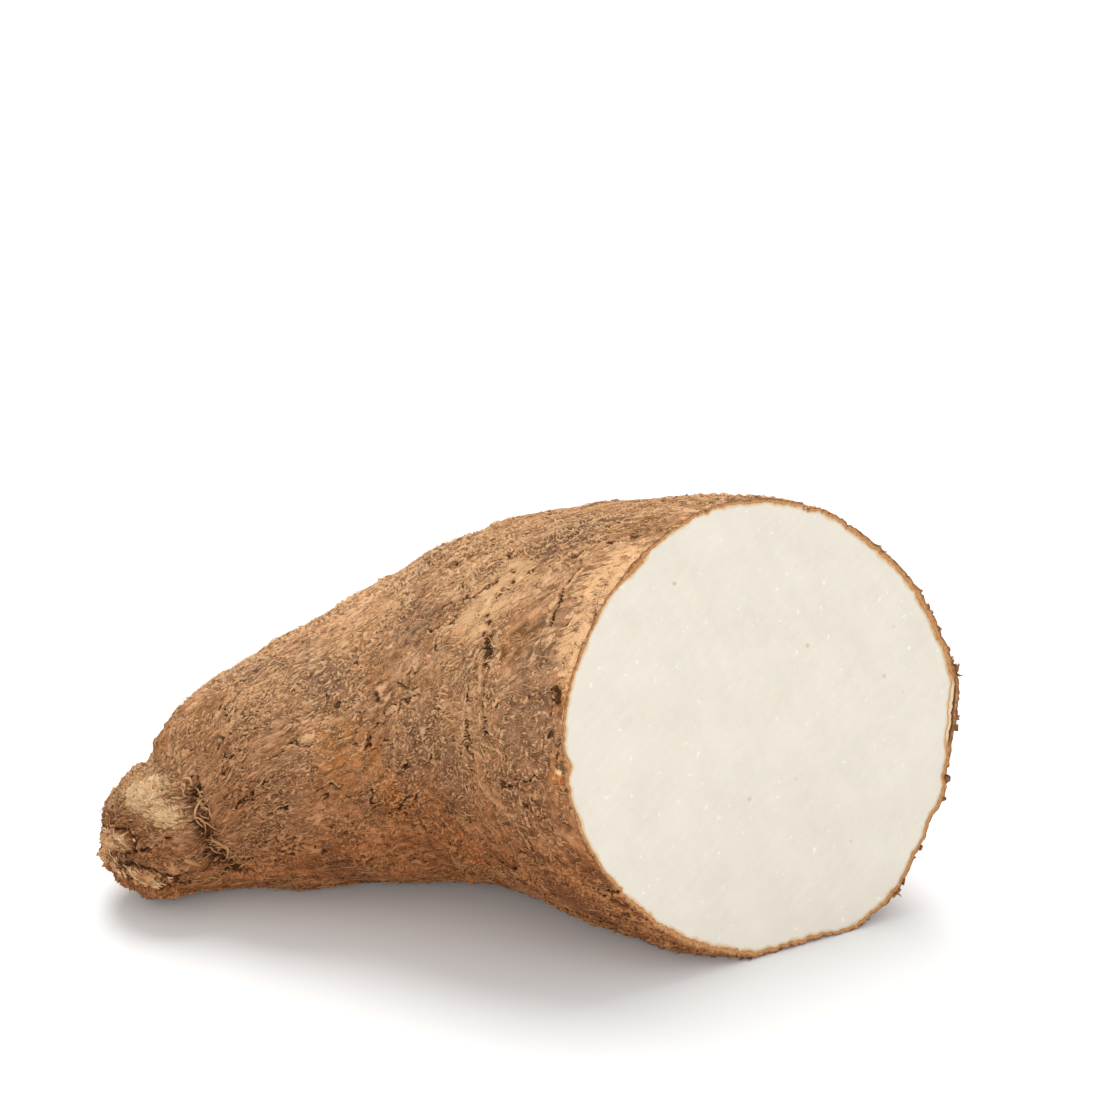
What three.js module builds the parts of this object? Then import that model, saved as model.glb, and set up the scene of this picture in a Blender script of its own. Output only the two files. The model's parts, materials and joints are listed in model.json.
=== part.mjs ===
// Half of a white yam lying on its side: the crown end of the tuber, cut straight through.
// Millimetres, +Z up. It lies on the plane z = 0, and the origin is under the middle of its outline.
// +X runs along its length, from the woody crown to the cut. The tuber is bent like a horn: from the
// crown it runs along +X, then widens and swings round to -Y, and the cut leans back a little.
// Bark and flesh grew as one piece, so the half is one solid.
import * as THREE from "three";

// Sections from the cut to the crown. along, back: the middle of the section, along +X and +Y from
// the middle of the cut. low: height of its underside; one below zero is pressed flat where it lies.
// wide, tall: its full size. turn: which way it faces, 0 being -Y and 90 being +X. lean: how far it
// leans back. uneven: how much of UNEVEN it has.
const SECTIONS = [
  { along: 0, back: 0, low: -1.5, wide: 118, tall: 117, turn: 29, lean: 17, uneven: 1 },
  { along: -15, back: 9, low: -2.5, wide: 118, tall: 115, turn: 33, lean: 17, uneven: 0.9 },
  { along: -32, back: 18, low: -2.5, wide: 112, tall: 110, turn: 43, lean: 15, uneven: 0.7 },
  { along: -52, back: 25, low: -0.5, wide: 102, tall: 102, turn: 57, lean: 13, uneven: 0.5 },
  { along: -75, back: 29, low: 2, wide: 89, tall: 90, turn: 72, lean: 10, uneven: 0.4 },
  { along: -98, back: 30, low: -0.5, wide: 76, tall: 77.5, turn: 86, lean: 8, uneven: 0.4 },
  { along: -120, back: 27, low: -1.5, wide: 65, tall: 67, turn: 97, lean: 6, uneven: 0.5 },
  { along: -138, back: 22, low: -0.5, wide: 53, tall: 57, turn: 106, lean: 2, uneven: 0.5 },
  { along: -149, back: 17.5, low: 0.5, wide: 43, tall: 46, turn: 112, lean: -4, uneven: 0.6 },
  { along: -158, back: 13.5, low: 1.5, wide: 37, tall: 35, turn: 117, lean: -14, uneven: 0.8 },
];

// A section isn't a true oval. Its size against the oval's, every eighth of a turn from its right
// hand side and up over the top.
const UNEVEN = [0.99, 0.955, 0.985, 0.975, 1, 0.985, 1, 0.94];

// How far the rounded end of the crown stands out past the last section.
const CROWN_ROUND = 12;

// How finely the surface is divided: rings from the cut to the last section, rings on the rounded
// end, and points round each ring.
const RINGS = 54;
const END_RINGS = 5;
const AROUND = 56;

// A smooth curve through evenly spaced values, read at t from 0 to 1.
function smooth(values, closed, t) {
  const points = values.map((value, i) => new THREE.Vector3(i, value, 0));
  return new THREE.CatmullRomCurve3(points, closed, "catmullrom", 0.5).getPoint(t).y;
}

function sectionAt(t) {
  const keys = Object.keys(SECTIONS[0]);
  return Object.fromEntries(keys.map((key) => [key, smooth(SECTIONS.map((s) => s[key]), false, t)]));
}

// A ring of points round a section, shrunk about its middle, and beyond it towards the crown.
function ringOf(section, shrink, beyond) {
  const turn = THREE.MathUtils.degToRad(section.turn);
  const lean = THREE.MathUtils.degToRad(section.lean);
  const out = new THREE.Vector3(
    Math.sin(turn) * Math.cos(lean),
    -Math.cos(turn) * Math.cos(lean),
    Math.sin(lean),
  );
  const right = new THREE.Vector3(Math.cos(turn), Math.sin(turn), 0);
  const up = new THREE.Vector3().crossVectors(out, right);
  const middle = new THREE.Vector3(
    section.along,
    section.back,
    section.low + (section.tall / 2) * Math.cos(lean),
  ).addScaledVector(out, -beyond);
  const points = [];
  for (let k = 0; k < AROUND; k++) {
    const angle = (k / AROUND) * 2 * Math.PI;
    const uneven = THREE.MathUtils.lerp(1, smooth(UNEVEN, true, k / AROUND), section.uneven);
    const point = middle
      .clone()
      .addScaledVector(right, (section.wide / 2) * shrink * uneven * Math.cos(angle))
      .addScaledVector(up, (section.tall / 2) * shrink * uneven * Math.sin(angle));
    if (point.z < 0) point.addScaledVector(up, -point.z / up.z);
    points.push(point);
  }
  return { middle, points };
}

function tuberGeometry() {
  const rings = [];
  for (let i = 0; i <= RINGS; i++) rings.push(ringOf(sectionAt(i / RINGS), 1, 0));
  for (let i = 1; i < END_RINGS; i++) {
    const angle = (i / END_RINGS) * (Math.PI / 2);
    rings.push(ringOf(sectionAt(1), Math.cos(angle), CROWN_ROUND * Math.sin(angle)));
  }
  const points = rings.flatMap((ring) => ring.points);
  const cutMiddle = points.push(rings[0].middle) - 1;
  const tip = points.push(ringOf(sectionAt(1), 0, CROWN_ROUND).middle) - 1;
  const lastRing = (rings.length - 1) * AROUND;
  const index = [];
  for (let k = 0; k < AROUND; k++) {
    const next = (k + 1) % AROUND;
    index.push(cutMiddle, k, next);
    for (let ring = 0; ring < lastRing; ring += AROUND) {
      index.push(ring + k, ring + AROUND + k, ring + next);
      index.push(ring + next, ring + AROUND + k, ring + AROUND + next);
    }
    index.push(tip, lastRing + next, lastRing + k);
  }
  const geometry = new THREE.BufferGeometry().setFromPoints(points);
  geometry.setIndex(index);
  geometry.computeBoundingBox();
  const { min, max } = geometry.boundingBox;
  return geometry.translate(-(min.x + max.x) / 2, -(min.y + max.y) / 2, 0);
}

const bark = new THREE.MeshStandardMaterial({ color: 0x9c7a52, roughness: 0.9, metalness: 0 });
const yam = new THREE.Mesh(tuberGeometry(), bark);
yam.name = "yam_half";

const group = new THREE.Group();
group.add(yam);
export default group;
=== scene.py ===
"""White yam, the crown half, cut straight through: bark, cut edge, flesh, crown stub, flakes and rootlets.

The skin is drawn over the CAD solid by casting rays from the tuber's middle line, so that its shape is
the frame's. The bark's relief is then moved out of and into that skin in code. Metres, +Z up.
"""

import itertools
import json
import math

import bpy
import numpy as np
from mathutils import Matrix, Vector
from mathutils.bvhtree import BVHTree


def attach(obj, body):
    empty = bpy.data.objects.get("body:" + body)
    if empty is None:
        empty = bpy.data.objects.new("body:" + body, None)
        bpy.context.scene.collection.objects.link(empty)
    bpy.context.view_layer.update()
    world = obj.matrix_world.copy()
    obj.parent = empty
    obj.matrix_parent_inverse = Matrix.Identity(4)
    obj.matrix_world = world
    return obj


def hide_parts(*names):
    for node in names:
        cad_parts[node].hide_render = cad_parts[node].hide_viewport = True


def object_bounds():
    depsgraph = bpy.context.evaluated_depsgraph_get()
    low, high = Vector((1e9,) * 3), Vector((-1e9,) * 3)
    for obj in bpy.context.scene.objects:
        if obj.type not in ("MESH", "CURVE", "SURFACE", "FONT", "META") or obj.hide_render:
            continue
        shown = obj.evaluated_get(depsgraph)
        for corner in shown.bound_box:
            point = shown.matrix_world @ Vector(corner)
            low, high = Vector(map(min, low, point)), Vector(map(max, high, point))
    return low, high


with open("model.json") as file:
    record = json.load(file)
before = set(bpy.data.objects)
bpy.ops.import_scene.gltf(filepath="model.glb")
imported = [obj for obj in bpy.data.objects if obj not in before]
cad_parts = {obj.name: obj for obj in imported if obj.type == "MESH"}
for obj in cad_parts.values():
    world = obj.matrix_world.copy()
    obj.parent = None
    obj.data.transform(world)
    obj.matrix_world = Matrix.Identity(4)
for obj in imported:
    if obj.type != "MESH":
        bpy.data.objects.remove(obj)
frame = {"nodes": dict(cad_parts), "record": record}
cad_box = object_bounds()
MM = 0.001

# ---------------------------------------------------------------- the tuber's own coordinates

# The middle line from the cut to the crown, every SPINE_STEP mm: x, y and z in mm, then which way the
# tuber's section faces there, turned from -Y towards +X and leaning back, in degrees.
SPINE_STEP = 24
SPINE = np.array([
    (60, -19.6, 54.4, 29, 17),
    (40, -8, 52, 37, 16),
    (19, 1.5, 50, 49, 14),
    (-4, 7.5, 47.5, 65, 11.5),
    (-27, 10, 42, 79, 9),
    (-50, 9, 34.5, 92, 7),
    (-73, 4, 29, 104, 3),
    (-95, -5, 19.5, 116, -13),
])
LENGTH = SPINE_STEP * (len(SPINE) - 1)

# The skin is a net of rings. The rings of the rounded end fan out from the last point of the spine.
COLLAR_RINGS = 130
BODY_RINGS = 165
NECK_RINGS = 65
END_RINGS = 70
COLLAR_END = 52                              # mm from the cut
BODY_END = 142
END_SWEEP = math.radians(88)
AROUND = 560
NEAR_SIDE = math.radians(160)                # the side with the finest net
NEAR_SHARE = 0.3

CUT = frame["record"]["mounts"][0]
CUT_POINT = np.array(CUT["pos_m"])
CUT_OUT = np.array(CUT["axis"])


def curve_through(values, t):
    """A smooth curve through evenly spaced rows of values, read at each t in rows."""
    ends = [2 * values[0] - values[1], *values, 2 * values[-1] - values[-2]]
    rows = np.array(ends)
    i = np.clip(np.floor(t).astype(int), 0, len(values) - 2)
    f = (t - i)[:, None]
    a, b, c, d = rows[i], rows[i + 1], rows[i + 2], rows[i + 3]
    return b + 0.5 * f * (c - a + f * (2 * a - 5 * b + 4 * c - d + f * (3 * (b - c) + d - a)))


def spine_at(s):
    """The middle, and the unit directions out, right and up, of the section s mm from the cut."""
    rows = curve_through(SPINE, np.asarray(s, float) / SPINE_STEP)
    turn, lean = np.radians(rows[:, 3]), np.radians(rows[:, 4])
    flat = np.cos(lean)
    out = np.stack([np.sin(turn) * flat, -np.cos(turn) * flat, np.sin(lean)], 1)
    right = np.stack([np.cos(turn), np.sin(turn), 0 * turn], 1)
    return rows[:, :3] * MM, out, right, np.cross(out, right)


def unit(vectors):
    return vectors / np.maximum(np.linalg.norm(vectors, axis=-1, keepdims=True), 1e-12)


def smoothstep(low, high, x):
    t = np.clip((x - low) / (high - low), 0, 1)
    return t * t * (3 - 2 * t)


def noise(points, seed):
    """Smooth noise from about -1 to 1 at each point, with features about one unit across."""
    rng = np.random.default_rng(seed)
    order = np.tile(rng.permutation(256), 2)
    slopes = unit(rng.normal(size=(256, 3)))
    flat = points.reshape(-1, 3)
    cell = np.floor(flat).astype(int)
    part = flat - cell
    fade = part ** 3 * (part * (part * 6 - 15) + 10)
    total = np.zeros(len(flat))
    for corner in itertools.product((0, 1), repeat=3):
        x, y, z = (cell + corner).T & 255
        slope = slopes[order[order[order[x] + y] + z]]
        weight = np.prod(np.where(corner, fade, 1 - fade), 1)
        total += weight * ((part - corner) * slope).sum(1)
    return (total * 1.7).reshape(points.shape[:-1])


def grain_noise(points, along, across, seed, octaves=1):
    """Noise stretched along the grain. along and across are its features' sizes in mm."""
    total = 0
    for i in range(octaves):
        size = np.array([along, across, across]) / 2 ** i
        total = total + noise(points / size, seed + i) / 2 ** i
    return total


# ---------------------------------------------------------------- the smooth skin over the CAD solid

RAY_START = 0.3                              # mm behind the cut, so that the first ring's rays hit the side


def cast_skin():
    """Casts rays from the spine onto the CAD solid. Returns the net's points, each point's angle
    round the spine and distance from it in mm, and each ring's place on the spine and tilt."""
    solid = frame["nodes"]["yam_half"].data
    corners = np.array([v.co for v in solid.vertices])
    tree = BVHTree.FromPolygons(corners.tolist(), [tuple(p.vertices) for p in solid.polygons])
    collar = np.linspace(0, COLLAR_END, COLLAR_RINGS, endpoint=False)
    body = np.linspace(COLLAR_END, BODY_END, BODY_RINGS, endpoint=False)
    neck = np.linspace(BODY_END, LENGTH, NECK_RINGS, endpoint=False)
    tilt = np.concatenate([np.zeros(COLLAR_RINGS + BODY_RINGS + NECK_RINGS),
                           np.linspace(0, END_SWEEP, END_RINGS)])
    s = np.concatenate([collar, body, neck, np.full(END_RINGS, float(LENGTH))])
    u = np.arange(AROUND) / AROUND * 2 * math.pi
    angle = u - NEAR_SHARE * np.sin(u - NEAR_SIDE)
    middle, out, right, up = spine_at(s)
    middle[0] -= out[0] * RAY_START * MM
    ray = (right[:, None] * np.cos(angle)[:, None] + up[:, None] * np.sin(angle)[:, None])
    ray = ray * np.cos(tilt)[:, None, None] - out[:, None] * np.sin(tilt)[:, None, None]
    reach = np.zeros(ray.shape[:2])
    for i, k in np.ndindex(reach.shape):
        reach[i, k] = tree.ray_cast(Vector(middle[i]), Vector(ray[i, k]))[3]
    reach = blurred(reach, 4)
    middle[0] += out[0] * RAY_START * MM
    return middle[:, None] + ray * reach[..., None], angle, reach / MM, s, tilt


def blurred(field, passes):
    """The field smoothed a little, round each ring and from ring to ring."""
    for _ in range(passes):
        field = (np.roll(field, 1, 1) + 2 * field + np.roll(field, -1, 1)) / 4
        inner = (field[:-2] + 2 * field[1:-1] + field[2:]) / 4
        field = np.concatenate([field[:1], inner, field[-1:]])
    return field


def net_directions(points):
    """Unit directions at each point of the net: out of the skin, towards the crown, and round."""
    towards = unit(np.gradient(points, axis=0))
    round_it = unit(np.roll(points, -1, 1) - np.roll(points, 1, 1))
    return unit(np.cross(towards, round_it)), towards, round_it


points, angle, reach, station, tilt = cast_skin()
outward, towards, round_it = net_directions(points)
END_SKIN = 18                                # mm of skin for each radian round the end
along = station + tilt * END_SKIN            # mm from the cut, over the skin

# The grain: positions on the tuber as if it were straight, x along it, in mm. Near the cut the grain
# parts and runs up and down round the near side, so the angle is turned there.
PARTING = math.radians(172)
PARTED_TO = 70                               # mm from the cut
END_RADIUS = 26
LEAST_REACH = 8
MIDDLE_REACH = 42                            # evens out the grain between the thick and the thin parts
swing = 0.55 * smoothstep(PARTED_TO, 0, along)[:, None] * np.sin(angle - PARTING)
grain_angle = angle - swing
girth = np.sqrt(np.maximum(reach, LEAST_REACH) * MIDDLE_REACH) * np.cos(tilt)[:, None]
grain = np.stack([
    np.broadcast_to((station + END_RADIUS * np.sin(tilt))[:, None], girth.shape),
    girth * np.cos(grain_angle),
    girth * np.sin(grain_angle),
], -1)


# ---------------------------------------------------------------- marks on the skin

def mark(s, degrees, length, width):
    """1 in the middle of a soft-edged oval mark on the skin and 0 away from it. s and degrees say
    where it is, length runs along the tuber and width round it, in mm."""
    dx = along[:, None] - s
    turn = (angle - math.radians(degrees) + math.pi) % (2 * math.pi) - math.pi
    dy = turn * reach
    rough = 1 + 0.35 * noise(grain / 7, 71)
    d2 = (dx / length) ** 2 + (dy / width) ** 2
    return np.exp(-2 * d2 * rough ** 2)


def spot(x, y, z, size):
    """The same for a round mark about a point of the frame in mm."""
    d = np.linalg.norm(points / MM - (x, y, z), axis=-1) / size
    return np.exp(-2 * (d * (1 + 0.25 * noise(points / MM / 4, 72))) ** 2)


def jittered(size, amount, seed):
    """A random shift for each point of the skin, in mm, that makes what it draws ragged."""
    return amount * np.stack([noise(points / MM / size, seed + i) for i in range(3)], -1)


ragged = points / MM + jittered(4, 1.0, 61) + jittered(1.4, 0.5, 64)


def line_through(*places):
    """The distance in mm from each point of the skin to a ragged line through places of the frame."""
    nearest = np.full(reach.shape, np.inf)
    for a, b in itertools.pairwise(np.array(places, float)):
        share = np.clip((ragged - a) @ (b - a) / ((b - a) @ (b - a)), 0, 1)
        nearest = np.minimum(nearest, np.linalg.norm(ragged - a - share[..., None] * (b - a), axis=-1))
    return nearest


def seam(distance, width):
    """1 on a line, fading out width mm beside it."""
    return np.exp(-(distance / width) ** 2)


# The collar's marks, then the body's, then the crown stub's and its neck's.
scrape = np.maximum(seam(line_through((-2, -12, 95), (-9, -18, 89)), 2.6),
                    seam(line_through((-9, -18, 89), (-15, -22.5, 83)), 4.2))
split_lines = [                              # how wide each crack is in mm, and where it runs
    (0.42, line_through((-1, -12, 95.5), (-7, -13.5, 92), (-13, -16, 89), (-23, -16, 84.5))),
    (0.45, line_through((-4, -15.5, 93), (-9, -20, 88), (-11, -25, 82))),
    (1.15, line_through((-9.5, -26.5, 81.5), (-10.3, -30.3, 75.8))),
    (0.5, line_through((-10, -30, 76), (-11, -35, 67), (-9, -38, 60))),
    (0.4, line_through((13, -17, 98), (8, -24, 91.5), (5, -29, 86))),
    (0.4, line_through((10, -29, 89), (5, -31, 83), (1, -33, 80))),
    (0.4, line_through((-18, -32, 66), (-27, -28, 67), (-38, -20, 70))),
    (0.5, line_through((-103, -19, 19), (-97, -22.5, 21.5), (-90, -21.5, 24))),
]
splits = np.max([seam(distance, width) for width, distance in split_lines], axis=0)
split_lips = np.max([seam(distance - 2.4 * width - 0.2, 0.45) for width, distance in split_lines], axis=0)
bare_rim = np.maximum(mark(4, 130, 9, 14), mark(4, 146, 9, 10))
orange_rim = np.maximum(mark(1, 158, 7, 12), mark(1, 180, 6, 8))
sore = seam(line_through((6.5, -40, 73), (5.5, -42, 68), (6, -45, 62), (8, -47.5, 56), (11, -49, 49)), 1.3)
pit = np.maximum(mark(114, 139, 1.8, 1.8), mark(98, 146, 1.5, 2.2))
rubbed = np.maximum(mark(112, 160, 26, 13), mark(92, 186, 20, 10))
cream_knob = np.maximum(spot(-99, -12, 33, 9), 0.9 * spot(-93, -18, 30, 6.5))
orange_knob = spot(-100, -18, 26, 8)
lip_line = line_through((-103, -18, 21), (-108, -13, 20), (-108, -12, 15), (-105, -17, 12),
                        (-99, -22, 13), (-92, -23, 11))
knob_lip = seam(lip_line, 2.0)
lip_gap = seam(lip_line - 3.2, 0.7)
knob_hollow = np.maximum(spot(-102, -19, 11, 3.5), spot(-93, -23, 12, 2.5))
knob_mottle = spot(-88.5, -22.5, 17, 6)
groove = seam(line_through((-87, -14, 35), (-84, -20, 30), (-81, -22, 20), (-75, -19, 12)), 3.4)
neck_filled = np.maximum(spot(-88, 0, 45, 12), spot(-95, 0, 41, 8))
knob_trimmed = spot(-101, -5, 37, 9)
nodule = spot(8.5, -47.5, 56, 3)
knob = smoothstep(160, 170, along)[:, None] * np.ones_like(reach)


# ---------------------------------------------------------------- the bark's relief

def stepped(height, steps):
    """Cuts a height into overlapping scales: 0 at the foot of each, rising to 1 at its lip."""
    level = height * steps
    return level - np.floor(level)


def bark_relief():
    """How far the bark stands out of the smooth skin, in mm, with where it is cracked and where a
    scale's lip lifts, both 0 to 1."""
    lumps = 0.9 * noise(grain / 30, 1) + 0.8 * noise(grain / 13, 2) + 0.5 * noise(grain / 6, 3)
    curls = [noise(grain / 5, seed) for seed in (11, 12, 13)]
    fine_curls = [noise(grain / 1.9, seed) for seed in (14, 15, 16)]
    warp = grain + 1.5 * np.stack(curls, -1) + 0.45 * np.stack(fine_curls, -1)
    dry = smoothstep(-0.45, 0.35, noise(grain / 17, 6))
    scale = stepped(grain_noise(warp, 17, 5.0, 20, 3), 3.2)
    small_scale = stepped(grain_noise(warp, 6, 2.4, 24, 2), 2.2)
    split = grain_noise(warp, 34, 6.5, 5, 3)
    broken = smoothstep(-0.25, 0.2, noise(grain / np.array([16, 9, 9]), 7))
    crack = smoothstep(-0.09, -0.03, split) * smoothstep(0.03, 0.0, split) * broken
    lip = smoothstep(0.0, 0.05, split) * smoothstep(0.24, 0.06, split) * broken
    relief = lumps + (0.42 + 0.52 * dry) * scale ** 1.6 + (0.06 + 0.2 * dry) * small_scale ** 1.6
    relief = relief + 0.6 * lip - 0.9 * crack
    # The lips of scales, which the finish paints paler: partly paler cork, partly a painted highlight.
    raised_pale_and_lit = np.maximum((0.45 + 0.55 * dry) * smoothstep(0.62, 0.95, scale), 0.75 * lip)
    raised_pale_and_lit = np.maximum(raised_pale_and_lit, 0.6 * smoothstep(0.7, 0.97, small_scale) * dry)
    # The feet of scales and the cracks, which the finish paints dark: dark cracks, and painted shade at the
    # feet.
    foot = np.maximum(1.25 * crack, (0.15 + 0.6 * dry) * smoothstep(0.16, 0.03, scale))
    foot = np.maximum(foot, 0.25 * smoothstep(0.2, 0.05, small_scale) * dry)
    return relief, foot, raised_pale_and_lit


# How deep or how high each mark is, in mm.
SCRAPE_DEPTH = 0.3
SPLIT_DEPTH = 1.3
SPLIT_LIP_HEIGHT = 0.12
SORE_DEPTH = 1.2
PIT_DEPTH = 1.3
KNOB_LUMPS = 0.9
LIP_HEIGHT = 2.0
LIP_GAP_DEPTH = 0.9
MOTTLE_HEIGHT = 0.8
GROOVE_DEPTH = 3.8
NECK_FILL = 5.0
KNOB_TRIM = 1.0
CREAM_HEIGHT = 0.8
HOLLOW_DEPTH = 2.2
NODULE_HEIGHT = 0.3
SET_IN = 0.6                                 # keeps the bark's middle level near the CAD skin
# Where the rim is fuller than the CAD solid: how far in mm, and the mark.
RIM_FILLS = (
    (4.0, (0, 306, 34, 20)),
    (2.2, (0, 290, 30, 14)),
    (1.2, (0, 358, 4, 9)),
    (2.2, (0, 328, 22, 11)),
)

relief, foot, raised_pale_and_lit = bark_relief()
torn = noise(grain / 3.2, 96) + 0.6 * noise(grain / 1.4, 97)
smooth_worn = np.clip(scrape + 0.9 * bare_rim + 0.6 * orange_rim, 0, 1)
relief = relief * (1 - 0.75 * smooth_worn) - SCRAPE_DEPTH * scrape
relief = relief - SPLIT_DEPTH * splits + SPLIT_LIP_HEIGHT * split_lips
relief = relief - SORE_DEPTH * sore * (1 + 0.9 * torn) - PIT_DEPTH * pit
relief = relief + knob * (KNOB_LUMPS * noise(points / MM / 6, 98) + 0.6 * torn)
relief = relief + knob_lip * (LIP_HEIGHT + 1.1 * torn) - LIP_GAP_DEPTH * lip_gap
relief = relief + knob_mottle * (MOTTLE_HEIGHT + 0.7 * torn)
relief = relief - GROOVE_DEPTH * groove + NECK_FILL * neck_filled
relief = relief - KNOB_TRIM * knob_trimmed + CREAM_HEIGHT * cream_knob
relief = relief - HOLLOW_DEPTH * knob_hollow
relief = relief * smoothstep(-5, 5, along)[:, None]
relief = relief + 0.25 * torn * smoothstep(2.2, 0.0, along)[:, None] - SET_IN
for height, place in RIM_FILLS:
    relief = relief + height * mark(*place)
relief = relief + NODULE_HEIGHT * nodule

skin = points + outward * relief[..., None] * MM
over = (skin - CUT_POINT) @ CUT_OUT
skin = skin - np.maximum(over, 0)[..., None] * CUT_OUT
skin[0] -= ((skin[0] - CUT_POINT) @ CUT_OUT)[:, None] * CUT_OUT
LEAST_HEIGHT = 0.15 * MM                     # everything is held this far above the floor
skin[..., 2] = np.maximum(skin[..., 2], LEAST_HEIGHT)


# ---------------------------------------------------------------- meshes

def mesh_object(name, vertices, faces, corner_uv, attributes):
    """A smooth-shaded mesh from arrays. faces is a list of arrays of triangles or quads, corner_uv
    the place of each of their corners on the finish's map, and attributes values at the points."""
    mesh = bpy.data.meshes.new(name)
    mesh.vertices.add(len(vertices))
    mesh.vertices.foreach_set("co", np.asarray(vertices, np.float32).ravel())
    sizes = np.concatenate([np.full(len(f), f.shape[1]) for f in faces])
    corners = np.concatenate([f.ravel() for f in faces])
    mesh.loops.add(len(corners))
    mesh.loops.foreach_set("vertex_index", corners.astype(np.int32))
    mesh.polygons.add(len(sizes))
    starts = np.concatenate([[0], np.cumsum(sizes)[:-1]])
    mesh.polygons.foreach_set("loop_start", starts.astype(np.int32))
    mesh.update(calc_edges=True)
    layer = mesh.uv_layers.new(name="OFBake")
    layer.data.foreach_set("uv", np.asarray(corner_uv, np.float32).ravel())
    for key, values in attributes.items():
        kind = "FLOAT_VECTOR" if np.ndim(values) > 1 else "FLOAT"
        data = mesh.attributes.new(key, kind, "POINT").data
        data.foreach_set("vector" if np.ndim(values) > 1 else "value", np.asarray(values, np.float32).ravel())
    mesh.polygons.foreach_set("use_smooth", np.ones(len(sizes), bool))
    mesh.validate()
    thing = bpy.data.objects.new(name, mesh)
    bpy.context.scene.collection.objects.link(thing)
    return thing


def net_faces(rows, columns, strips):
    """Quads of a net that closes on itself round each row, and their corners' places on a map that
    is cut into strips one above another."""
    i, k = np.meshgrid(np.arange(rows - 1), np.arange(columns), indexing="ij")
    i, k = i.ravel(), k.ravel()
    nxt = (k + 1) % columns
    quads = np.stack([i * columns + k, (i + 1) * columns + k, (i + 1) * columns + nxt, i * columns + nxt], 1)
    strip = k * strips // columns
    start = np.ceil(strip * columns / strips)
    u = np.stack([k, k, k + 1, k + 1], 1) - start[:, None]
    v = np.stack([i, i + 1, i + 1, i], 1) / (rows - 1)
    gap = 0.006
    u = gap + (1 - 2 * gap) * u / math.ceil(columns / strips)
    v = (strip[:, None] + gap + (1 - 2 * gap) * v) / strips
    return quads, np.stack([u, v], -1)


def ridden(thing, material):
    """Gives a piece its finish and lets it ride on the one body."""
    thing.data.materials.append(material)
    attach(thing, "root")
    return thing


# ---------------------------------------------------------------- finishes

# Flesh: its darker and lighter parts, the knife's smears, pale flecks, tan fibre ends and the edge.
FLESH_LOW = "#dbd4c6"
FLESH_HIGH = "#e2dbcd"
FLESH_SMEAR = "#eae4d7"
FLESH_FLECK = "#f7f3ea"
FLESH_SPECK = "#b2946c"
FLESH_EDGE = "#d8b88e"

# Bark: whole cork, then where it is rubbed, weathered or bare (the bare colour also paints top light), then
# the creases' painted-highlight lips, threads and painted-shadow gaps, the paler lips of scales with a
# painted highlight, dark cracks with painted shade, and the painted shade that the underside is multiplied
# by.
CORK_DARK = "#9f6f47"
CORK_MIDDLE = "#c69369"
CORK_LIGHT = "#e9b68a"
RUBBED_ORANGE = "#c68040"
WEATHERED_GREY = "#9c765c"
BARE_AND_TOP_LIT_PALE = "#efc08e"
BARE_CREAM = "#ffdcab"
CREASE_LIP_HIGHLIGHT = "#e7b685"
CREASE_GAP_SHADOW = "#4c2c14"
FINE_CREASE_SHADOW = "#7a4a28"
THREAD = "#e0af80"
RAISED_LIP_PALE_AND_LIT = "#ecbf90"
DARK_CRACK_AND_SHADE = "#3c200c"
UNDERSIDE_SHADE = "#cdaf98"


def linear(code):
    """A colour node's value for an sRGB hex code."""
    parts = [int(code[i:i + 2], 16) / 255 for i in (1, 3, 5)]
    return [c / 12.92 if c <= 0.04045 else ((c + 0.055) / 1.055) ** 2.4 for c in parts] + [1.0]


def add(tree, kind, inputs=None, stops=None, **settings):
    """Adds a node with its settings. Each input is a value, or a socket to link from."""
    node = tree.nodes.new("ShaderNode" + kind)
    for name, value in settings.items():
        setattr(node, name, value)
    for key, value in (inputs or {}).items():
        if isinstance(value, bpy.types.NodeSocket):
            tree.links.new(value, node.inputs[key])
        else:
            node.inputs[key].default_value = value
    for i, (place, colour) in enumerate(stops or []):
        stop = node.color_ramp.elements[i] if i < 2 else node.color_ramp.elements.new(place)
        stop.position = place
        stop.color = linear(colour) if isinstance(colour, str) else [colour] * 3 + [1]
    return node


def new_finish(name):
    material = bpy.data.materials.new(name)
    material.use_nodes = True
    material.node_tree.nodes.clear()
    return material, material.node_tree


def finish_off(tree, colour, height=None, depth=0.3, **constants):
    """The shader and output. height is in mm, and constants go on the shader's own sockets."""
    shader = add(tree, "BsdfPrincipled", {"Base Color": colour, **constants})
    if height is not None:
        bump = add(tree, "Bump", {"Height": height, "Distance": depth * MM, "Strength": 1.0})
        tree.links.new(bump.outputs[0], shader.inputs["Normal"])
    add(tree, "OutputMaterial", {"Surface": shader.outputs[0]})


def grain_pattern(tree, grain_socket, along_mm, across_mm, detail=3.0, distortion=0.0):
    """A noise stretched along the grain, from sizes in mm."""
    scale = add(tree, "VectorMath", {0: grain_socket, 1: (1 / along_mm, 1 / across_mm, 1 / across_mm)},
                operation="MULTIPLY")
    return add(tree, "TexNoise", {"Vector": scale.outputs[0], "Scale": 1.0, "Detail": detail,
                                  "Roughness": 0.6, "Distortion": distortion}).outputs["Fac"]


def mixed(tree, factor, a, b, blend="MIX"):
    node = add(tree, "Mix", {0: factor, 6: a, 7: b}, data_type="RGBA", blend_type=blend)
    return node.outputs[2]


def math_of(tree, operation, a, b=0.0, c=0.0):
    return add(tree, "Math", {0: a, 1: b, 2: c}, operation=operation).outputs[0]


def ranged(tree, value, low, high, to_low=0.0, to_high=1.0):
    """The value carried from one range to another and held at its ends."""
    return add(tree, "MapRange", {0: value, 1: low, 2: high, 3: to_low, 4: to_high}).outputs[0]


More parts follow.
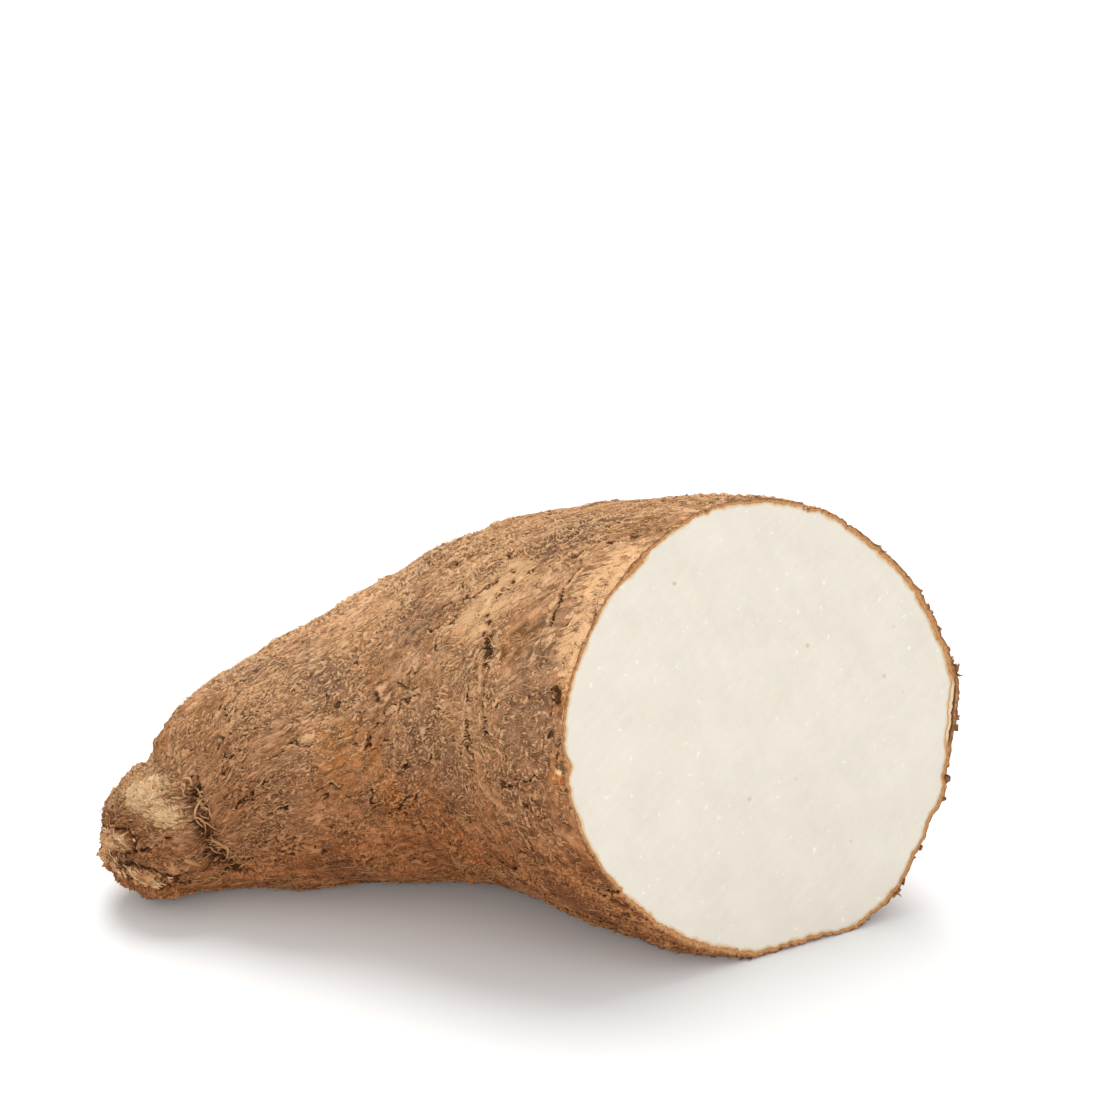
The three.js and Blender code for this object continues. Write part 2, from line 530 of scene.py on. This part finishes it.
def creased(tree, field, along_mm, across_mm, distortion):
    """Curling creases, the lines where a noise crosses its middle: how far each place is to one side
    of a crease, and how far off it is on either side."""
    wave = grain_pattern(tree, field, along_mm, across_mm, 2, distortion)
    side = math_of(tree, "SUBTRACT", wave, 0.5)
    return side, math_of(tree, "ABSOLUTE", side)


def torn_up(tree, value, noise_socket):
    """A soft-edged value with its edge torn up along a noise."""
    shift = math_of(tree, "SUBTRACT", noise_socket, 0.5)
    return ranged(tree, math_of(tree, "MULTIPLY_ADD", shift, 1.5, value), 0.36, 0.58)


def bark_finish():
    """Dry tuber bark: cork that split and flaked as the tuber swelled. Dull, tan on what stands out, partly
    as a painted highlight, and paler on top as painted top light; orange brown where it is rubbed bare, and
    dark in the cracks and below, with painted shade in the creases, the hollows and on the underside."""
    material, tree = new_finish("dry_cork_bark")
    field = add(tree, "Attribute", attribute_name="grain").outputs["Vector"]
    value = {key: add(tree, "Attribute", attribute_name=key).outputs["Fac"]
             for key in ("pale", "cream", "orange", "dark", "grey", "raised_pale_and_lit", "under")}
    broad = grain_pattern(tree, field, 14, 6, 4)
    mottle = grain_pattern(tree, field, 4.0, 1.8, 4, 0.5)
    long_side, long_crease = creased(tree, field, 13, 1.5, 0.9)
    side, crease = creased(tree, field, 4.2, 1.9, 1.6)
    small_crease = creased(tree, field, 2.0, 0.9, 1.4)[1]
    broken = grain_pattern(tree, field, 5.0, 2.4, 2)
    fibres = grain_pattern(tree, field, 4.0, 0.5, 3, 0.5)
    base = add(tree, "ValToRGB", {0: broad},
               stops=[(0.32, CORK_DARK), (0.66, CORK_LIGHT), (0.5, CORK_MIDDLE)])
    colour = mixed(tree, value["orange"], base.outputs[0], linear(RUBBED_ORANGE))
    colour = mixed(tree, value["grey"], colour, linear(WEATHERED_GREY))
    colour = mixed(tree, 1.0, colour, ranged(tree, mottle, 0.37, 0.6, 0.42, 1.1), "MULTIPLY")
    bare = math_of(tree, "MULTIPLY", torn_up(tree, value["pale"], fibres), 0.85)
    colour = mixed(tree, bare, colour, linear(BARE_AND_TOP_LIT_PALE))
    standing = ranged(tree, broken, 0.46, 0.58)
    # Along each crease: a painted highlight on its lip and a painted shadow in its gap.
    for slope, line, most in ((side, crease, 0.75), (long_side, long_crease, 0.72)):
        lip = math_of(tree, "MULTIPLY", ranged(tree, slope, 0.0, 0.02),
                      ranged(tree, slope, 0.07, 0.03, 0.0, most))
        colour = mixed(tree, math_of(tree, "MULTIPLY", lip, standing), colour, linear(CREASE_LIP_HIGHLIGHT))
        gap = math_of(tree, "MULTIPLY", ranged(tree, line, 0.022, 0.004, 0.0, most + 0.1), standing)
        colour = mixed(tree, gap, colour, linear(CREASE_GAP_SHADOW))
    # Painted shadow in the fine creases.
    colour = mixed(tree, ranged(tree, small_crease, 0.016, 0.004, 0.0, 0.4), colour, linear(FINE_CREASE_SHADOW))
    colour = mixed(tree, ranged(tree, fibres, 0.58, 0.7, 0.0, 0.4), colour, linear(THREAD))
    smeared = math_of(tree, "MULTIPLY", torn_up(tree, value["cream"], mottle), 0.9)
    colour = mixed(tree, smeared, colour, linear(BARE_CREAM))
    # The lips of scales and splits: paler cork with a painted highlight.
    lifted_pale_and_lit = math_of(tree, "MULTIPLY", torn_up(tree, value["raised_pale_and_lit"], fibres), 0.7)
    colour = mixed(tree, lifted_pale_and_lit, colour, linear(RAISED_LIP_PALE_AND_LIT))
    # Dark cracks and the sore, with painted shade at the feet of the scales, in the groove and in the
    # hollows.
    cracked = math_of(tree, "MULTIPLY", torn_up(tree, value["dark"], fibres), 0.85)
    colour = mixed(tree, cracked, colour, linear(DARK_CRACK_AND_SHADE))
    # Painted shade on the underside and on the crown's unlit side.
    shaded = mixed(tree, 1.0, colour, linear(UNDERSIDE_SHADE), "MULTIPLY")
    colour = mixed(tree, value["under"], colour, shaded)
    height = math_of(tree, "MULTIPLY", ranged(tree, crease, 0.0, 0.12),
                     math_of(tree, "MULTIPLY_ADD", standing, 0.7, 0.3))
    height = math_of(tree, "MULTIPLY_ADD", ranged(tree, long_crease, 0.0, 0.12), 0.8, height)
    height = math_of(tree, "MULTIPLY_ADD", ranged(tree, small_crease, 0.0, 0.1), 0.35, height)
    height = math_of(tree, "MULTIPLY_ADD", fibres, 0.6, height)
    finish_off(tree, colour, height, 0.17, Roughness=0.95, **{"Specular IOR Level": 0.1})
    return material


def flesh_finish():
    """Freshly cut raw yam: packed starch, cream white and nearly even, with a faint wet sheen. The knife
    leaves soft smears, a few fibre ends show as tan specks, and the light goes a little way in."""
    material, tree = new_finish("raw_starchy_flesh")
    field = add(tree, "Attribute", attribute_name="face").outputs["Vector"]
    edge = add(tree, "Attribute", attribute_name="edge").outputs["Fac"]
    soft = add(tree, "TexNoise", {"Vector": field, "Scale": 0.07, "Detail": 4.0}).outputs["Fac"]
    streak = grain_pattern(tree, field, 7.0, 1.6, 4, 0.6)
    fleck = add(tree, "TexNoise", {"Vector": field, "Scale": 0.45, "Detail": 2.0}).outputs["Fac"]
    colour = add(tree, "ValToRGB", {0: soft}, stops=[(0.3, FLESH_LOW), (0.7, FLESH_HIGH)]).outputs[0]
    colour = mixed(tree, ranged(tree, streak, 0.45, 0.7, 0.0, 0.25), colour, linear(FLESH_SMEAR))
    colour = mixed(tree, ranged(tree, fleck, 0.66, 0.74, 0.0, 0.5), colour, linear(FLESH_FLECK))
    cells = add(tree, "TexVoronoi", {"Vector": field, "Scale": 0.13})
    speck = math_of(tree, "MULTIPLY", ranged(tree, cells.outputs["Distance"], 0.1, 0.05),
                    ranged(tree, cells.outputs["Color"], 0.6, 0.75, 0.0, 0.45))
    colour = mixed(tree, speck, colour, linear(FLESH_SPECK))
    colour = mixed(tree, ranged(tree, edge, 0.3, 0.95), colour, linear(FLESH_EDGE))
    height = math_of(tree, "MULTIPLY_ADD", speck, -1.0, streak)
    glow = {"Subsurface Weight": 0.15, "Subsurface Radius": (1.0, 0.8, 0.5), "Subsurface Scale": 2 * MM}
    finish_off(tree, colour, height, 0.12, Roughness=0.45, **glow)
    return material


# Where across the cut edge the right side's outer bark stands off, from 0 outside to 1 inside.
PARTED_AT = 0.42
RIM_LAYERS = ((0.0, "#7c5230"), (1.0, "#d09a64"), (0.35, "#a87446"), (0.6, "#c8945f"), (0.8, "#a96f3c"))
# The painted shadow in the gap under the bark that stands off, and the pale line beside it: where, how far it
# reaches, its colour.
PARTED_BANDS = ((PARTED_AT, 0.17, "#5a3519"), (0.78, 0.24, "#e6caa4"))


def rim_finish():
    """The cut edge of the bark: dark ragged cork outside, then paler layers, and an orange line of
    cambium beside the flesh."""
    material, tree = new_finish("cut_bark_edge")
    inner = add(tree, "Attribute", attribute_name="inner").outputs["Fac"]
    field = add(tree, "Attribute", attribute_name="grain").outputs["Vector"]
    mottle = add(tree, "TexNoise", {"Vector": field, "Scale": 0.9, "Detail": 5.0}).outputs["Fac"]
    shifted = math_of(tree, "ADD", inner, ranged(tree, mottle, 0.3, 0.7, -0.3, 0.3))
    colour = add(tree, "ValToRGB", {0: shifted}, stops=RIM_LAYERS).outputs[0]
    parted = add(tree, "Attribute", attribute_name="parted").outputs["Fac"]
    # The first band paints shadow into the gap; the second is the pale line beside it.
    for place, reach_in, tint in PARTED_BANDS:
        off = math_of(tree, "ABSOLUTE", math_of(tree, "SUBTRACT", inner, place))
        band = math_of(tree, "MULTIPLY", ranged(tree, off, reach_in, 0.4 * reach_in),
                       ranged(tree, parted, 0.3, 0.6))
        colour = mixed(tree, band, colour, linear(tint))
    finish_off(tree, colour, mottle, 0.5, Roughness=0.8)
    return material


# ---------------------------------------------------------------- the skin pieces

def skin_piece(name, first, last, strips, material):
    """One band of the skin, from ring first to ring last."""
    rows = last - first + 1
    part = slice(first, last + 1)
    faces, uv = net_faces(rows, AROUND, strips)
    values = {key: value[part].reshape(-1) for key, value in skin_values.items()}
    values["grain"] = grain[part].reshape(-1, 3)
    vertices = skin[part].reshape(-1, 3)
    corner_uv = uv.reshape(-1, 2)
    face_list = [faces]
    if last == len(skin) - 1:
        k = np.arange(AROUND)
        ring = (rows - 1) * AROUND
        pole = np.stack([ring + k, np.full(AROUND, len(vertices)), ring + (k + 1) % AROUND], 1)
        vertices = np.concatenate([vertices, skin[last].mean(0)[None]])
        values = {key: np.concatenate([v, v[-1:]]) for key, v in values.items()}
        face_list.append(pole)
        corner_uv = np.concatenate([corner_uv, np.full((3 * AROUND, 2), 0.997)])
    return ridden(mesh_object(name, vertices, face_list, corner_uv, values), material)


# Painted top light: how far the skin faces up. The bark, its cracks and its loose pieces are painted paler
# there.
painted_top_light = smoothstep(0.1, 0.95, outward[..., 2])
patchy = smoothstep(-0.35, 0.5, noise(grain / np.array([30, 14, 14]), 81))
rubbed_off = smoothstep(0.2, 0.7, noise(grain / 16, 82))
weathered = smoothstep(0.0, 0.6, noise(grain / 19, 83))
# Dark cracks and the dark sore, with painted shade at the feet of the scales, in the pit, the groove, the
# hollows and the gap beside the knob's lip. The painted shade is lighter where the skin faces up.
cracks_and_shade = 0.9 * foot * (1 - 0.8 * smooth_worn) * (1 - 0.7 * cream_knob) * (1 - 0.35 * painted_top_light)
cracks_and_shade = cracks_and_shade + 0.9 * splits + 0.8 * sore * (0.9 + 0.7 * torn)
cracks_and_shade = cracks_and_shade + 0.8 * pit + groove ** 1.2 * (0.75 - 0.4 * torn) + 0.8 * knob_hollow + 0.7 * lip_gap
lifted_pale_and_lit = (1 - 0.7 * smooth_worn) * raised_pale_and_lit + 0.7 * knob_mottle * smoothstep(0.2, 0.6, torn)
lifted_pale_and_lit = lifted_pale_and_lit + 0.8 * split_lips * smoothstep(-0.2, 0.5, torn) + 0.8 * sore * smoothstep(0.3, 0.7, torn)
unlit_crown = 0.75 * smoothstep(118, 150, along)[:, None] * (1 - painted_top_light) * (1 - cream_knob)
# What the bark's finish reads at each point, 0 to 1 each.
skin_values = {
    # pale: bare and scraped bark, plus painted top light in patches where the skin faces up.
    "pale": np.clip(1.1 * scrape + 0.95 * bare_rim + 0.42 * orange_rim + 0.45 * painted_top_light * patchy, 0, 1),
    "cream": np.clip(1.1 * cream_knob + 0.85 * knob_lip + 0.35 * knob_mottle + 0.8 * nodule, 0, 1),
    "orange": np.clip(0.7 * rubbed + 0.7 * orange_knob + 0.4 * rubbed_off + 1.1 * orange_rim, 0, 1),
    "grey": 0.8 * weathered * (1 - np.clip(scrape + rubbed + knob + bare_rim + orange_rim, 0, 1)),
    "dark": np.clip(cracks_and_shade, 0, 0.92),
    # raised: lips of scales and splits, paler cork with a painted highlight.
    "raised_pale_and_lit": np.clip(lifted_pale_and_lit, 0, 1),
    # under: painted shade where the skin faces down and on the crown's unlit side.
    "under": np.maximum(smoothstep(0.6, -0.45, outward[..., 2]), unlit_crown),
}
bark = bark_finish()
collar_last = COLLAR_RINGS
body_last = COLLAR_RINGS + BODY_RINGS
collar = skin_piece("bark_collar", 0, collar_last, 2, bark)
body = skin_piece("bark_body", collar_last, body_last, 2, bark)
crown = skin_piece("bark_crown", body_last, len(skin) - 1, 2, bark)
for piece in (collar, body, crown):
    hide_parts("yam_half")


# ---------------------------------------------------------------- the cut edge and the flesh

CUT_MIDDLE = spine_at([0])[0][0]
CUT_RIGHT, CUT_UP = (spine_at([0])[i][0] for i in (2, 3))


# Where the cut bark is thicker: how much in mm, and where round the rim and how far it spreads in degrees.
THICKER_RIM = ((0.9, 15, 45), (0.9, 238, 28), (1.3, 124, 5), (1.4, 178, 2.5))


def cut_edge():
    """The ring of cut bark between the skin and the flesh, with some places thicker. Returns its
    inner border."""
    rows = 7
    outer = skin[0]
    inward = unit(CUT_MIDDLE - outer)
    thick = 0.95 + 0.4 * noise(grain[0] / 9, 91) + 0.2 * noise(grain[0] / 2.5, 92)
    for more, degrees, spread in THICKER_RIM:
        thick = thick + more * mark_at_rim(degrees, spread)
    parted = mark_at_rim(352, 9)
    thick = np.clip(thick + 1.4 * parted, 0.5, 5)
    steps = np.linspace(0, 1, rows)[:, None]
    net = outer + inward * (steps * thick * MM)[..., None]
    place = net / MM
    lift = np.sin(steps * math.pi) * (0.12 + 0.35 * noise(place / 1.5, 93) + 0.2 * noise(place / 4, 94))
    lift = lift - 0.8 * parted * np.exp(-((steps - PARTED_AT) / 0.15) ** 2)
    net = net + CUT_OUT * (lift * MM)[..., None]
    faces, uv = net_faces(rows, AROUND, 3)
    values = {"inner": np.repeat(steps[:, 0], AROUND), "grain": place.reshape(-1, 3),
              "parted": np.tile(parted, rows)}
    faces = faces[:, ::-1]
    uv = uv[:, ::-1]
    piece = mesh_object("cut_bark_edge", net.reshape(-1, 3), [faces], uv.reshape(-1, 2), values)
    ridden(piece, rim_finish())
    return net[-1]


def mark_at_rim(degrees, spread):
    """1 at one place round the rim, fading out over spread degrees to each side."""
    turn = (angle - math.radians(degrees) + math.pi) % (2 * math.pi) - math.pi
    return np.exp(-(turn / math.radians(spread)) ** 2)


FLESH_RADIUS = 57                            # about how far the flesh reaches from its middle, in mm
UV_REACH = 130                               # mm of flesh across the whole UV square


def flesh_face(border):
    """The cut flesh: a flat disc with the knife's soft smears, ending just under the cut edge."""
    rows, columns = 100, AROUND // 2
    ring = border[::2]
    outer = ring + unit(ring - CUT_MIDDLE) * 0.5 * MM
    share = 1 - np.arange(rows) / rows
    net = CUT_MIDDLE + (outer - CUT_MIDDLE) * share[:, None, None]
    flat = (net - CUT_MIDDLE) / MM
    across, upward = flat @ CUT_RIGHT, flat @ CUT_UP
    place = np.stack([0.82 * across + 0.57 * upward, 0.82 * upward - 0.57 * across, 0 * across], -1)
    streak = np.stack([across * 0.9 + upward * 0.3, upward * 0.28 - across * 0.1, 0 * across], -1)
    ripple = np.sin((upward - 0.75 * across + 3 * noise(place / 12, 105)) / 1.1)
    relief = 0.25 * noise(place / 26, 101) + 0.14 * noise(streak / 4, 102) + 0.05 * noise(place / 2.2, 103)
    relief = relief + 0.05 * ripple * smoothstep(15, 45, across)
    distance = (1 - share)[:, None] * FLESH_RADIUS
    relief = relief * smoothstep(0.3, 4.0, distance) - 0.12
    net = net + CUT_OUT * (relief * MM)[..., None]
    faces, uv = net_faces(rows, columns, 1)
    edge = smoothstep(2.0, 0.3, distance + 0.5 * noise(place / 3, 104))
    flat_uv = np.stack([across, upward], -1).reshape(-1, 2) / UV_REACH + 0.5
    vertices = np.concatenate([net.reshape(-1, 3), net[-1].mean(0)[None]])
    k = np.arange(columns)
    last = (rows - 1) * columns
    hub = np.stack([last + k, last + (k + 1) % columns, np.full(columns, len(vertices) - 1)], 1)
    all_uv = np.concatenate([flat_uv, [[0.5, 0.5]]])
    faces = faces[:, ::-1]
    corner_uv = np.concatenate([all_uv[faces].reshape(-1, 2), all_uv[hub].reshape(-1, 2)])
    values = {"face": np.concatenate([place.reshape(-1, 3), [[0, 0, 0]]]),
              "edge": np.append(edge.reshape(-1), 0)}
    piece = mesh_object("cut_flesh", vertices, [faces, hub], corner_uv, values)
    ridden(piece, flesh_finish())


flesh_face(cut_edge())


# ---------------------------------------------------------------- flakes, fibres and rootlets

ROUND_SIDE = -round_it                       # towards a larger angle
drift = np.gradient(swing, axis=0) / np.maximum(np.gradient(along), 1e-3)[:, None]
flow = unit(towards + ROUND_SIDE * (drift * reach)[..., None])


def strips(name, middle, half_width, rise, tone, material):
    """Many slim closed strips as one mesh. middle, half_width and rise are points and vectors for
    each strip and each station along it: its spine, its half width and the height of its back."""
    count, stations = middle.shape[:2]
    vertices = np.stack([middle - half_width, middle + rise, middle + half_width], 2)
    vertices[..., 2] = np.maximum(vertices[..., 2], LEAST_HEIGHT)
    station, side = np.meshgrid(np.arange(stations - 1), np.arange(3), indexing="ij")
    station, side = station.ravel(), side.ravel()
    nxt = (side + 1) % 3
    here, there = station * 3, (station + 1) * 3
    quad = np.stack([here + side, here + nxt, there + nxt, there + side], 1)
    last = (stations - 1) * 3
    tips = np.array([[2, 1, 0], [last, last + 1, last + 2]])
    base = (np.arange(count) * stations * 3)[:, None, None]
    cells = math.ceil(math.sqrt(count))
    cell = np.stack([np.arange(count) % cells, np.arange(count) // cells], 1)[:, None, None]
    spots = [np.stack([(0.1 + 0.4 * (f % 3)), 0.1 + 0.8 * (f // 3) / stations], -1) for f in (quad, tips)]
    uv = [((spot_uv + cell) / cells).reshape(-1, 2) for spot_uv in spots]
    faces = [(quad + base).reshape(-1, 4), (tips + base).reshape(-1, 3)]
    values = {"tone": np.repeat(tone, stations * 3),
              "end": np.tile(np.repeat(np.linspace(0, 1, stations), 3), count)}
    thing = mesh_object(name, vertices.reshape(-1, 3), faces, np.concatenate(uv), values)
    ridden(thing, material)


def cell_areas():
    down = np.gradient(skin, axis=0)
    sideways = (np.roll(skin, -1, 1) - np.roll(skin, 1, 1)) / 2
    return np.linalg.norm(np.cross(down, sideways), axis=-1)


def scattered(count, density, seed):
    """Random places on the skin, as flat indices into the net, thick where density is high."""
    weight = (cell_areas() * density).ravel()
    return np.random.default_rng(seed).choice(weight.size, count, p=weight / weight.sum())


def flakes_at(where, seed, length, width, thick, lift, spread, stations=5, askew=0):
    """Spines, half widths and backs of flakes lying along the grain. Sizes are in mm; each is a pair,
    the least and the most. lift is how far the free end stands off. askew turns them all off the
    grain, in degrees, and spread turns them about that."""
    rng = np.random.default_rng(seed)
    n = len(where)
    base = skin.reshape(-1, 3)[where]
    out = outward.reshape(-1, 3)[where]
    ahead = flow.reshape(-1, 3)[where]
    beside = unit(np.cross(out, ahead))
    turn = np.radians(askew + rng.normal(0, 1, n) * spread + rng.choice([0, 180], n))[:, None]
    ahead, beside = (np.cos(turn) * ahead + np.sin(turn) * beside,
                     np.cos(turn) * beside - np.sin(turn) * ahead)
    size = [lo + (hi - lo) * rng.random(n) ** 2 for lo, hi in (length, width, thick)]
    rise = lift[0] + (lift[1] - lift[0]) * rng.random(n) ** 1.5
    bend = rng.normal(0, 0.24, n) * size[0]
    curl = rng.normal(0, 0.12, n) * size[0]
    waver = rng.normal(0, 0.07, n) * size[0]
    t = np.linspace(0, 1, stations)[None, :, None]
    long, wide, deep = (v[:, None, None] * MM for v in size)
    middle = (base[:, None] + ahead[:, None] * (t - 0.35) * long
              + beside[:, None] * (bend[:, None, None] * MM * (t - 0.5) ** 2 * 4)
              + out[:, None] * (rise[:, None, None] * MM * t ** 1.7 - 0.05 * MM
                                + curl[:, None, None] * MM * t * (1 - t))
              + beside[:, None] * (waver[:, None, None] * MM * np.sin(2 * math.pi * t)))
    outline = np.sin(math.pi * (0.1 + 0.84 * t)) ** 0.7
    half = beside[:, None] * wide / 2 * outline
    roll = rng.normal(0, 0.5, n)[:, None, None]
    half = half + out[:, None] * wide / 2 * outline * roll * t
    back = out[:, None] * deep * (0.4 + 0.6 * outline)
    return middle, half, back


def flake_finish(name, dark, light):
    """Loose cork: thinner and drier than the bark under it, so paler, each flake its own tone."""
    material, tree = new_finish(name)
    tone = add(tree, "Attribute", attribute_name="tone").outputs["Fac"]
    end = add(tree, "Attribute", attribute_name="end").outputs["Fac"]
    mix = math_of(tree, "ADD", math_of(tree, "MULTIPLY", tone, 0.8), math_of(tree, "MULTIPLY", end, 0.25))
    colour = add(tree, "ValToRGB", {0: mix}, stops=[(0.0, dark), (1.0, light)]).outputs[0]
    finish_off(tree, colour, Roughness=0.85, **{"Specular IOR Level": 0.15})
    return material


def tones_at(where, seed):
    """Each loose piece's tone, 0 dark to 1 pale: mixed, with painted top light where the bark faces up and
    painted shade on the underside.
    """
    spread = np.random.default_rng(seed).random(len(where))
    top_lit, shade = painted_top_light.ravel()[where], skin_values["under"].ravel()[where]
    return np.clip(0.65 * spread + 0.4 * top_lit - 0.3 * shade, 0, 1)


tangle = smoothstep(-0.35, 0.45, noise(grain / 15, 111))
loose_cork = flake_finish("loose_cork_flakes", "#7a4b2a", "#ebb886")
near = 0.6 + 0.8 * smoothstep(-0.3, 0.6, -outward[..., 1])
flake_density = (0.12 + tangle ** 1.5) * (1 - 0.85 * smooth_worn) * (1 - 0.65 * knob) * near
flake_density = flake_density * smoothstep(0.5, 3.5, along)[:, None]
FLAKES = 5000                                # in each of the two pieces
LOW_FLAKES_TO = 62                           # mm from the cut
low_part = along[:, None] < LOW_FLAKES_TO
for name, part, seed in (("bark_flakes_low", low_part, 21), ("bark_flakes_high", ~low_part, 23)):
    places = scattered(FLAKES, flake_density * part, seed)
    flakes = flakes_at(places, seed, (0.8, 3.4), (0.22, 0.85), (0.05, 0.12), (0.02, 0.55), 22)
    strips(name, *flakes, tones_at(places, seed), loose_cork)

dry_fibre = flake_finish("dry_bark_fibres", "#a06a3c", "#f3c898")
places = scattered(2000, (0.3 + tangle) * (1 - 0.8 * groove) * near * smoothstep(3, 9, along)[:, None], 31)
fibres = flakes_at(places, 32, (2.0, 7.0), (0.12, 0.24), (0.1, 0.18), (0.0, 0.8), 35, 6)
strips("bark_fibres", *fibres, tones_at(places, 33), dry_fibre)

STRANDS_ASKEW = -65                          # they lie along the groove, more than along the grain
places = scattered(34, groove, 41)
strands = flakes_at(places, 42, (4.0, 9.5), (0.7, 1.7), (0.2, 0.45), (0.1, 1.0), 14, 9, STRANDS_ASKEW)
strips("neck_strands", *strands, tones_at(places, 43), dry_fibre)

torn_cork = flake_finish("torn_pale_cork", "#a87040", "#f3cfa4")
places = scattered(70, knob_lip + 0.4 * knob_hollow, 51)
lip = flakes_at(places, 52, (1.5, 4.5), (0.5, 1.4), (0.08, 0.2), (0.0, 0.5), 30, 6)
strips("torn_crown_lip", *lip, np.random.default_rng(53).random(len(places)), torn_cork)

far_rim = (0.25 + mark_at_rim(330, 80)) * smoothstep(2.5, 0.0, along)[:, None]
places = scattered(90, far_rim, 55)
scraps = flakes_at(places, 56, (1.0, 3.6), (0.8, 2.2), (0.15, 0.35), (0.0, 0.5), 70, 5)
strips("rim_scraps", *scraps, tones_at(places, 57), loose_cork)


# The rootlets: mm from the cut, degrees round the spine, and length in mm.
ROOTLETS = (
    (3, 322, 8.0),
    (4, 300, 3.0),
    (6, 288, 3.5),
    (3, 272, 2.5),
    (60, 100, 3.0),
    (66, 104, 3.5),
    (48, 97, 2.5),
)


def rootlets():
    """The few thin roots near the cut and on the top: each goes out of the skin, then hangs down if
    it is on the near side, or lies along the grain."""
    rng = np.random.default_rng(61)
    t = np.linspace(0, 1, 12)[:, None]
    middle, half, back = [], [], []
    for s, degrees, length in ROOTLETS:
        ring = np.argmin(np.abs(along - s))
        k = np.argmin(np.abs((angle[ring] - math.radians(degrees) + math.pi) % (2 * math.pi) - math.pi))
        root, out = skin[ring, k], outward[ring, k]
        wave = np.cumsum(rng.normal(0, 0.25, (12, 3)), 0) * (length / 8)
        hang = np.array([0.15, 0, -1.0]) if degrees > 180 else 0.3 * towards[ring, k]
        path = out * (1.6 * t ** 0.7 - 0.3) * MM + hang * length * t ** 1.4 * MM + wave * t * MM
        middle.append(root + path)
        half.append(np.cross(out, unit(hang)) * (0.4 - 0.28 * t) * MM)
        back.append(out * (0.6 - 0.4 * t) * MM)
    return np.array(middle), np.array(half), np.array(back)


strips("rootlets", *rootlets(), np.full(len(ROOTLETS), 0.15), loose_cork)


# ---------------------------------------------------------------- floor, light and camera

ROOM_LIGHT = 0.71
SUN_POWER = 2.35
FILL_POWER = 6


def stage():
    """A plain pale floor, and a soft light from above and behind."""
    bpy.ops.mesh.primitive_plane_add(size=40)
    floor = bpy.context.object
    floor.name = "floor"
    material, tree = new_finish("pale_floor")
    finish_off(tree, linear("#f4f4f3"), Roughness=0.9)
    floor.data.materials.append(material)
    lamps = (("soft_top", "SUN", (-0.12, 0.65, 1.0), math.radians(40), SUN_POWER),
             ("fill", "AREA", (-0.1, -1.3, 0.5), 0.7, FILL_POWER))
    for name, kind, place, size, power in lamps:
        lamp = bpy.data.lights.new(name, kind)
        setattr(lamp, "angle" if kind == "SUN" else "size", size)
        lamp.energy = power
        thing = bpy.data.objects.new(name, lamp)
        thing.location = place
        thing.rotation_euler = (Vector((0, 0, 0.04)) - Vector(place)).to_track_quat("-Z", "Y").to_euler()
        bpy.context.scene.collection.objects.link(thing)
    world = bpy.data.worlds.new("pale_room")
    world.use_nodes = True
    world.node_tree.nodes["Background"].inputs[0].default_value = (1, 1, 1, 1)
    world.node_tree.nodes["Background"].inputs[1].default_value = ROOM_LIGHT
    bpy.context.scene.world = world
    bpy.context.scene.view_settings.view_transform = "Standard"


def camera():
    """Looks along +Y and down at the tuber, from a little over half a metre."""
    low, high = cad_box
    aim = Vector((0.0055, -0.004, 0.873 * high.z))
    drop = math.radians(21)
    distance = 0.649
    lens = bpy.data.cameras.new("camera")
    lens.lens = 85
    lens.sensor_width = 36
    thing = bpy.data.objects.new("camera", lens)
    thing.location = aim + Vector((0, -math.cos(drop), math.sin(drop))) * distance
    thing.rotation_euler = (math.radians(90) - drop, 0, 0)
    bpy.context.scene.collection.objects.link(thing)
    bpy.context.scene.camera = thing


stage()
camera()
